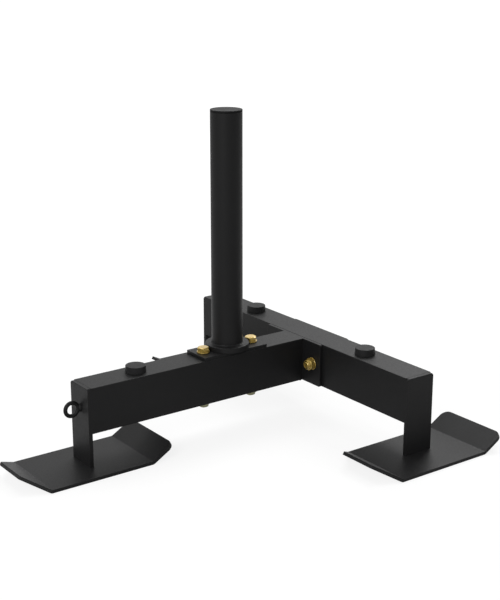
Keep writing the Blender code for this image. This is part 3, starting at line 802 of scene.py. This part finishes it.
def moulded_plastic():
    """Black plastic with the fine texture of a spark-eroded mould."""
    material, tree, shader = new_finish("moulded_plastic")
    pits = grain(tree, 2600.0, 2.0)
    cloud = grain(tree, 60.0, 2.0)
    feed(
        tree,
        shader,
        Specular_IOR_Level=0.07,
        Base_Color=tint(tree, cloud, (0.0085, 0.0085, 0.0088), (0.013, 0.013, 0.0134)),
        Roughness=spread(tree, cloud, 0.50, 0.60),
        Normal=relief(tree, pits, 0.4, 0.00006),
    )
    return material


low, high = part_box("post_cap")
post_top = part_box("post_tube")[1].z
cap_radius = (high.x - low.x) / 2
cap_height = high.z - post_top - TUBE_TO_PLATE
cap_profile = [
    (cap_radius - CAP_NECK_INSET, -TUBE_TO_PLATE),
    (cap_radius - CAP_FOOT, 0),
    (cap_radius, CAP_FOOT),
    *rounded_rim(cap_radius, cap_height, CAP_RIM),
    (cap_radius * 0.80, cap_height),
    (cap_radius * 0.40, cap_height - CAP_DISH / 2),
    (cap_radius * 0.10, cap_height - CAP_DISH),
]
cap_bm = stand_at(turned(cap_profile, POST_STEPS), 0, post_y, post_top + TUBE_TO_PLATE)
cap = finish_piece("post_plug", cap_bm, moulded_plastic(), 0)
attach(cap, "root")
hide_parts("post_cap")


# Bumpers
# Round rubber buttons, pushed into holes in the tops of the tubes, that the lowest plate rests on.
# Each is a plain flat button, a little narrower on top than at its foot, with a tight rim.
BUMPER_STEPS = 96
BUMPER_FOOT = 0.0004
BUMPER_RIM = 0.0006
BUMPER_TAPER = 0.0006


def bumper_rubber():
    """Black rubber, matt, with a faint dusty bloom."""
    material, tree, shader = new_finish("bumper_rubber")
    pores = grain(tree, 1400.0, 3.0)
    bloom = grain(tree, 120.0, 3.0)
    feed(
        tree,
        shader,
        Specular_IOR_Level=0.13,
        Base_Color=tint(tree, bloom, (0.013, 0.013, 0.0134), (0.021, 0.021, 0.0216)),
        Roughness=spread(tree, bloom, 0.50, 0.62),
        Normal=relief(tree, pores, 0.5, 0.00006),
    )
    return material


rubber = bumper_rubber()
for side in ("front", "left", "right"):
    low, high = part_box(f"{side}_bumper")
    middle = (low + high) / 2
    bumper_radius = (high.x - low.x) / 2
    bumper_height = high.z - tube_top
    bumper_profile = [
        (bumper_radius - BUMPER_FOOT, 0),
        (bumper_radius, BUMPER_FOOT),
        *rounded_rim(bumper_radius - BUMPER_TAPER, bumper_height, BUMPER_RIM),
        (bumper_radius * 0.8, bumper_height),
    ]
    button_bm = stand_at(turned(bumper_profile, BUMPER_STEPS), middle.x, middle.y, tube_top)
    button = finish_piece(f"{side}_rubber_button", button_bm, rubber, 0)
    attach(button, "root")
    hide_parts(f"{side}_bumper")


# Pull eye
# A ring of 6 mm round bar, welded to a short shank that goes through the front leg.
# A nut behind the leg holds it.
EYE_WIRE = 0.006
EYE_STEPS = 96
EYE_WIRE_STEPS = 28
EYE_SHANK_STEPS = 32
EYE_SHANK_FLARE = ((0.80, 0.0034), (0.92, 0.0022), (0.99, 0.0010), (1.01, 0))


def ring_and_shank(centre, mean_radius, face_y):
    """The ring, and a shank that starts inside its wire and flares towards the leg's face."""
    bm = bmesh.new()
    wire_radius = EYE_WIRE / 2
    loops = []
    for step in range(EYE_STEPS):
        turn = 2 * math.pi * step / EYE_STEPS
        outwards = Vector((0, math.cos(turn), math.sin(turn)))
        loop = []
        for part in range(EYE_WIRE_STEPS):
            angle = 2 * math.pi * part / EYE_WIRE_STEPS
            out = outwards * (mean_radius + wire_radius * math.cos(angle))
            sideways = Vector((1, 0, 0)) * (wire_radius * math.sin(angle))
            loop.append(bm.verts.new(centre + out + sideways))
        loops.append(loop)
    skin(bm, loops, closed=True)
    shank_start = centre.y + mean_radius
    length = face_y - shank_start
    shank_profile = [(wire_radius, 0)]
    shank_profile += [(EYE_WIRE * share, length - before) for share, before in EYE_SHANK_FLARE]
    shank = turned(shank_profile, EYE_SHANK_STEPS)
    level = Matrix.Rotation(math.radians(-90), 4, "X")
    shank.transform(Matrix.Translation((0, shank_start, centre.z)) @ level)
    shank_mesh = bpy.data.meshes.new("shank")
    shank.to_mesh(shank_mesh)
    shank.free()
    bm.from_mesh(shank_mesh)
    return bm


low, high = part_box("pull_eye")
leg_face_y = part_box("front_leg")[0].y
eye_outer = (high.z - low.z) / 2
eye_centre = Vector((0, low.y + eye_outer, (low.z + high.z) / 2))
eye_bm = ring_and_shank(eye_centre, eye_outer - EYE_WIRE / 2, leg_face_y)
eye = finish_piece("pull_ring", eye_bm, coat, 0)
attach(eye, "root")
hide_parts("pull_eye")


# Bolts, washers and lock nuts
# Four M10 hex bolts with a washer at each end and a lock nut with a nylon ring, all yellow zinc plated.
# Two hold the post's base plate down, and two hold the junction together, their nuts in front.
BOLT_STEPS = 72
BOLT_SHARP_ANGLE = math.radians(25)
BOLT_RADIUS = 0.005
SHANK_RADIUS = BOLT_RADIUS - 0.0001
HEX_ACROSS = 0.017
HEX_CHAMFER = math.radians(30)
HEX_CHAMFER_START = 0.00015
HEAD_HEIGHT = 0.0064
HEAD_CROWN = 0.0004
HEAD_HEX_BELOW_TOP = 0.0002
HEAD_FLAT_SHARE = 0.90
NUT_FLAT_SHARE = 0.95
NUT_HEX_HEIGHT = 0.0065
NUT_HEIGHT = 0.010
NUT_CLEARANCE = 0.0002
NUT_COLLAR_RADIUS = 0.0078
NUT_COLLAR_WALL = 0.0020
NUT_COLLAR_FOOT = ((0, 0.0001), (0.0002, 0.0006))
NUT_COLLAR_CRIMP = (
    (0.0002, 0.0014),
    (0.0005, 0.0005),
    (0.0011, 0.0001),
    (0.0017, 0),
    (NUT_COLLAR_WALL, 0.0004),
)
NYLON_BELOW_TOP = (0.0007, 0.0009)
THREAD_STEPS = 36
THREAD_LENGTH = 0.022
THREAD_PITCH = 0.0015
THREAD_DEPTH = 0.00092
THREAD_TIP = 0.0012
THREAD_TIP_SLOPE = 0.9
CORE_TIP = 0.0002
CORE_TIP_INSET = 0.0006
WASHER_RADIUS = 0.020 / 2
WASHER_THICKNESS = 0.002
WASHER_EDGE = 0.0003
WASHER_CLEARANCE = 0.0004
# How far above the tube's underside the painted shade of the lower nuts fades in.
SHADED_NUT_FADE = 0.002


def yellow_zinc(shaded_below):
    """Yellow passivated zinc: dull gold with faint clouds and grain under a thin clear film.

    Nuts that hang lower than the given height get a darker, greyer gold: painted shade for the shadow under
    the tube.
    """
    material, tree, shader = new_finish("yellow_zinc")
    cloud = grain(tree, 130.0, 3.0, 0.6)
    spots = grain(tree, 900.0, 2.0)
    gold = tint(tree, spread(tree, cloud, 0.0, 1.0), (0.375, 0.252, 0.045), (0.435, 0.312, 0.075))
    # Painted shade: below the given height the gold turns to a darker, greyer tone, standing in for the
    # shade under the tube.
    place = tree.nodes.new("ShaderNodeTexCoord").outputs["Object"]
    split = add_node(tree, "ShaderNodeSeparateXYZ", Vector=place)
    height = add_node(tree, "ShaderNodeMapRange", Value=split.outputs["Z"])
    feed(tree, height, From_Min=shaded_below - SHADED_NUT_FADE, From_Max=shaded_below)
    feed(
        tree,
        shader,
        Metallic=1.0,
        Coat_Weight=1.0,
        Coat_Roughness=0.2,
        Base_Color=tint(tree, height.outputs["Result"], (0.235, 0.23, 0.125), gold),
        Roughness=spread(tree, spots, 0.46, 0.58),
        Normal=relief(tree, spots, 0.3, 0.00004),
    )
    return material


def hex_reach(turn):
    """How far a hexagon reaches from its middle in one direction."""
    sector = math.pi / 3
    return HEX_ACROSS / 2 / math.cos((turn + sector / 2) % sector - sector / 2)


def hex_ring(bm, z, flat_radius=None, away=1):
    """One ring of a hexagon; beyond flat_radius its corners fall away by the chamfer's angle."""
    ring = []
    for step in range(BOLT_STEPS):
        turn = 2 * math.pi * step / BOLT_STEPS
        reach = hex_reach(turn)
        drop = 0 if flat_radius is None else max(0.0, reach - flat_radius) * math.tan(HEX_CHAMFER)
        ring.append(bm.verts.new((reach * math.cos(turn), reach * math.sin(turn), z - away * drop)))
    return ring


def thread(bm, start, end):
    """An M10 thread that ends in a chamfered tip: one spiral strip round a closed core."""
    core_radius = BOLT_RADIUS - THREAD_DEPTH
    count = int((end - start) / THREAD_PITCH * THREAD_STEPS)
    crest, root = [], []
    for index in range(count + 1):
        turn = 2 * math.pi * index / THREAD_STEPS
        z = start + THREAD_PITCH * index / THREAD_STEPS
        outer = SHANK_RADIUS - max(0.0, z - (end - THREAD_TIP)) * THREAD_TIP_SLOPE
        inner = min(outer, core_radius)
        crest.append(bm.verts.new((outer * math.cos(turn), outer * math.sin(turn), z)))
        root.append(bm.verts.new((inner * math.cos(turn), inner * math.sin(turn), z + THREAD_PITCH / 2)))
    for index in range(count):
        bm.faces.new((crest[index], crest[index + 1], root[index + 1], root[index]))
        above = index + THREAD_STEPS
        if above < count:
            bm.faces.new((root[index], root[index + 1], crest[above + 1], crest[above]))
    core = [(core_radius, start), (core_radius, end - CORE_TIP), (core_radius - CORE_TIP_INSET, end)]
    skin(bm, round_rings(bm, core, BOLT_STEPS), closed=False)


def hex_bolt(length):
    """Head below z = 0, shank and thread above it."""
    bm = bmesh.new()
    flat_radius = HEAD_FLAT_SHARE * HEX_ACROSS / 2
    crown = [(flat_radius - HEAD_CROWN, -HEAD_HEIGHT), (flat_radius, -HEAD_HEIGHT + HEX_CHAMFER_START)]
    rings = [
        *round_rings(bm, crown, BOLT_STEPS),
        hex_ring(bm, -HEAD_HEIGHT + HEAD_HEX_BELOW_TOP, flat_radius, away=-1),
        hex_ring(bm, 0),
        *round_rings(bm, [(SHANK_RADIUS, 0), (SHANK_RADIUS, length - THREAD_LENGTH)], BOLT_STEPS),
    ]
    skin(bm, rings, closed=False)
    thread(bm, length - THREAD_LENGTH, length)
    return bm


def plain_washer():
    hole = BOLT_RADIUS + WASHER_CLEARANCE
    profile = [
        (hole, 0),
        (WASHER_RADIUS - WASHER_EDGE, 0),
        (WASHER_RADIUS, WASHER_EDGE),
        (WASHER_RADIUS, WASHER_THICKNESS - WASHER_EDGE),
        (WASHER_RADIUS - WASHER_EDGE, WASHER_THICKNESS),
        (hole, WASHER_THICKNESS),
    ]
    return turned(profile, BOLT_STEPS, closed=True)


def lock_nut():
    """A chamfered hexagon with a crimped collar that holds the nylon ring."""
    bm = bmesh.new()
    flat_radius = NUT_FLAT_SHARE * HEX_ACROSS / 2
    bore = BOLT_RADIUS + NUT_CLEARANCE
    collar = [(NUT_COLLAR_RADIUS - inset, NUT_HEX_HEIGHT + above) for inset, above in NUT_COLLAR_FOOT]
    collar += [(NUT_COLLAR_RADIUS - inset, NUT_HEIGHT - below) for inset, below in NUT_COLLAR_CRIMP]
    collar += [(NUT_COLLAR_RADIUS - NUT_COLLAR_WALL, NUT_HEX_HEIGHT), (bore, NUT_HEX_HEIGHT)]
    rings = [
        *round_rings(bm, [(bore, 0), (flat_radius, 0)], BOLT_STEPS),
        hex_ring(bm, HEX_CHAMFER_START, flat_radius, away=-1),
        hex_ring(bm, NUT_HEX_HEIGHT, flat_radius),
        *round_rings(bm, collar, BOLT_STEPS),
    ]
    skin(bm, rings, closed=True)
    return bm


def nylon_ring():
    outer = NUT_COLLAR_RADIUS - NUT_COLLAR_WALL
    outer_drop, inner_drop = NYLON_BELOW_TOP
    profile = [
        (BOLT_RADIUS, NUT_HEX_HEIGHT),
        (outer, NUT_HEX_HEIGHT),
        (outer, NUT_HEIGHT - outer_drop),
        (BOLT_RADIUS, NUT_HEIGHT - inner_drop),
    ]
    return turned(profile, BOLT_STEPS, closed=True)


def seating_tree():
    """Put a copy of a piece on each point: +Z along the point's axis, +X along the point's flat."""
    tree, given = start_tree("seat_on_points", Geometry="Geometry", Piece="Object", Finish="Material")
    piece = add_node(tree, "GeometryNodeObjectInfo", Object=given["Piece"])
    along = add_node(tree, "FunctionNodeAlignRotationToVector", {"axis": "Z"})
    feed(tree, along, Vector=stored(tree, "axis", "FLOAT_VECTOR"))
    turned_on = add_node(tree, "FunctionNodeAlignRotationToVector", {"axis": "X", "pivot_axis": "Z"})
    feed(tree, turned_on, Rotation=along.outputs["Rotation"], Vector=stored(tree, "flat", "FLOAT_VECTOR"))
    copies = add_node(tree, "GeometryNodeInstanceOnPoints", Points=given["Geometry"])
    feed(tree, copies, Instance=piece.outputs["Geometry"], Rotation=turned_on.outputs["Rotation"])
    return end_tree(tree, copies.outputs["Instances"], given["Finish"])


def seats(name, places):
    """Points with an axis and the direction that a flat faces, one for each copy."""
    mesh = bpy.data.meshes.new(name)
    mesh.from_pydata([point for point, axis, flat in places], [], [])
    mesh.attributes.new("axis", "FLOAT_VECTOR", "POINT")
    mesh.attributes.new("flat", "FLOAT_VECTOR", "POINT")
    for index, (point, axis, flat) in enumerate(places):
        mesh.attributes["axis"].data[index].vector = axis
        mesh.attributes["flat"].data[index].vector = flat
    return mesh


def repeat_piece(name, bm, places, material):
    """Make one pattern piece, seat its copies, and remove the pattern."""
    bmesh.ops.recalc_face_normals(bm, faces=bm.faces)
    pattern_mesh = bpy.data.meshes.new(f"{name}_pattern")
    bm.to_mesh(pattern_mesh)
    bm.free()
    pattern = bpy.data.objects.new(pattern_mesh.name, pattern_mesh)
    bpy.context.scene.collection.objects.link(pattern)
    values = {"Piece": pattern, "Finish": material}
    made = grow(name, seats(f"{name}_seats", places), seat_on_points, values, BOLT_SHARP_ANGLE)
    bpy.data.objects.remove(pattern, do_unlink=True)
    bpy.data.meshes.remove(pattern_mesh)
    return made


def level_turn(degrees):
    """A direction in the ground plane."""
    return Vector((math.cos(math.radians(degrees)), math.sin(math.radians(degrees)), 0))


def upright_turn(degrees):
    """A direction in the plane of the cross tube's front."""
    return Vector((math.sin(math.radians(degrees)), 0, math.cos(math.radians(degrees))))


# The nuts under the main tube get the zinc's painted shade.
zinc = yellow_zinc(tube_bottom)
seat_on_points = seating_tree()
DOWN = Vector((0, 0, -1))
FORWARD = Vector((0, -1, 0))
head_places = {"post": [], "junction": []}
nut_places = []
washer_places = []
bolt_lengths = {}
for group, place, axis, head_flat, nut_flat in (
    ("post", "front", DOWN, level_turn(54), level_turn(40)),
    ("post", "rear", DOWN, level_turn(48), level_turn(70)),
    ("junction", "left", FORWARD, upright_turn(12), upright_turn(-8)),
    ("junction", "right", FORWARD, upright_turn(25), upright_turn(20)),
):
    low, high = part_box(f"{group}_bolt_{place}")
    middle = (low + high) / 2
    head_side = "top" if group == "post" else "rear"
    nut_side = "bottom" if group == "post" else "front"
    span = abs(Vector(high - low).dot(axis))
    bolt_lengths[group] = span - HEAD_HEIGHT
    head_places[group].append((middle - axis * (span / 2 - HEAD_HEIGHT), axis, head_flat))
    nut_low, nut_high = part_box(f"{group}_nut_{place}")
    nut_places.append(((nut_low + nut_high) / 2 - axis * (NUT_HEIGHT / 2), axis, nut_flat))
    for washer_side in (head_side, nut_side):
        washer_low, washer_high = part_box(f"{group}_{washer_side}_washer_{place}")
        washer_middle = (washer_low + washer_high) / 2
        washer_places.append((washer_middle - axis * (WASHER_THICKNESS / 2), axis, head_flat))

bolt_ends = {"post": ("front", "rear"), "junction": ("left", "right")}
for group, places in head_places.items():
    bolts = repeat_piece(f"{group}_hex_bolts", hex_bolt(bolt_lengths[group]), places, zinc)
    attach(bolts, "root")
    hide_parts(*[f"{group}_bolt_{end}" for end in bolt_ends[group]])

washers = repeat_piece("plain_washers", plain_washer(), washer_places, zinc)
nuts = repeat_piece("lock_nuts", lock_nut(), nut_places, zinc)
washer_sides = (("post", "top"), ("post", "bottom"), ("junction", "rear"), ("junction", "front"))
washer_nodes = [f"{group}_{side}_washer_{end}" for group, side in washer_sides for end in bolt_ends[group]]
nut_nodes = [f"{group}_nut_{end}" for group, both in bolt_ends.items() for end in both]
for made, nodes in ((washers, washer_nodes), (nuts, nut_nodes)):
    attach(made, "root")
    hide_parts(*nodes)

locking_rings = repeat_piece("nylon_locking_rings", nylon_ring(), nut_places, moulded_plastic())
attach(locking_rings, "root")


# Weld nut of the pull eye
# A plain hex nut, welded behind the front leg inside the main tube, so nothing of it shows.
# It keeps the shape that the CAD gives it, in the bolts' yellow zinc.
weld_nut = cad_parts["pull_eye_weld_nut"]
weld_nut.data.materials.clear()
weld_nut.data.materials.append(zinc)
